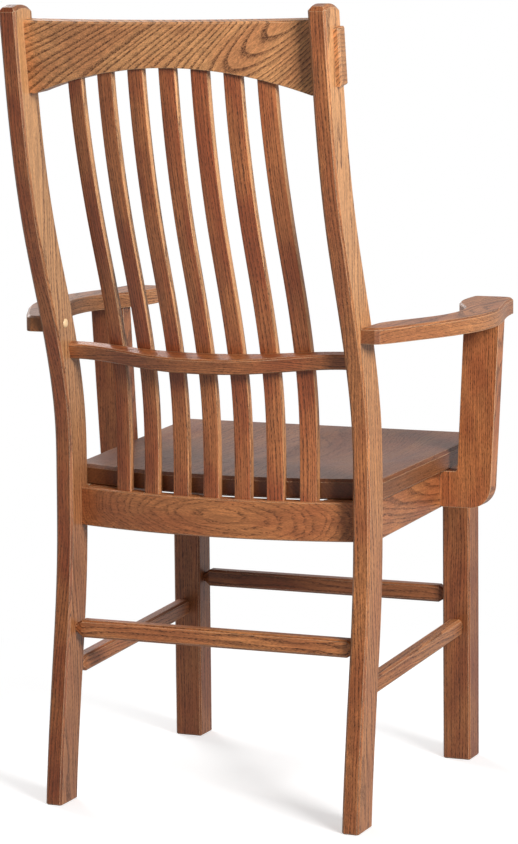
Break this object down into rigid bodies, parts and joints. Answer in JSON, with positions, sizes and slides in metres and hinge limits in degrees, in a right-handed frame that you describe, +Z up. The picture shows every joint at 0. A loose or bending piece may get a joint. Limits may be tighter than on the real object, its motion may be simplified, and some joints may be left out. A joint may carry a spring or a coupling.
{
  "type": "dining armchair",
  "caption": "High-backed mission dining armchair in stained oak, with S-curved rear posts and slats, arched through-tenoned crest rail, bowed lumbar rail, dished seat and flowing arms.",
  "frame": {"origin": "on the floor under the middle of the chair's outline", "axes": "+Z up; the chair faces -Y; +X to the sitter's left; X=0 is the plane of symmetry"},
  "size_m": [0.6744, 0.6104, 1.1115],
  "materials": {
    "oak": "open-grained oak, medium brown stain, satin lacquer",
    "screw_steel": "plain zinc-plated"
  },
  "bodies": {
    "root": {"rear_post_left": "oak", "rear_post_right": "oak", "crest_rail": "oak", "back_slat_1": "oak", "back_slat_2": "oak", "back_slat_3": "oak", "back_slat_4": "oak", "back_slat_5": "oak", "back_slat_6": "oak", "back_slat_7": "oak", "lumbar_rail": "oak", "rear_apron": "oak", "front_apron": "oak", "side_apron_left": "oak", "side_apron_right": "oak", "seat": "oak", "front_leg_left": "oak", "front_leg_right": "oak", "arm_post_left": "oak", "arm_post_right": "oak", "arm_left": "oak", "arm_right": "oak", "side_stretcher_left": "oak", "side_stretcher_right": "oak", "rear_stretcher": "oak", "front_stretcher": "oak", "corner_block_front_left": "oak", "corner_block_front_right": "oak", "corner_block_rear_left": "oak", "corner_block_rear_right": "oak", "arm_plug_left": "oak", "arm_plug_right": "oak", "arm_dowels": "oak", "seat_screws": "screw_steel", "corner_block_screws": "screw_steel", "arm_post_screws": "screw_steel", "arm_screws": "screw_steel"}
  },
  "joints": []
}
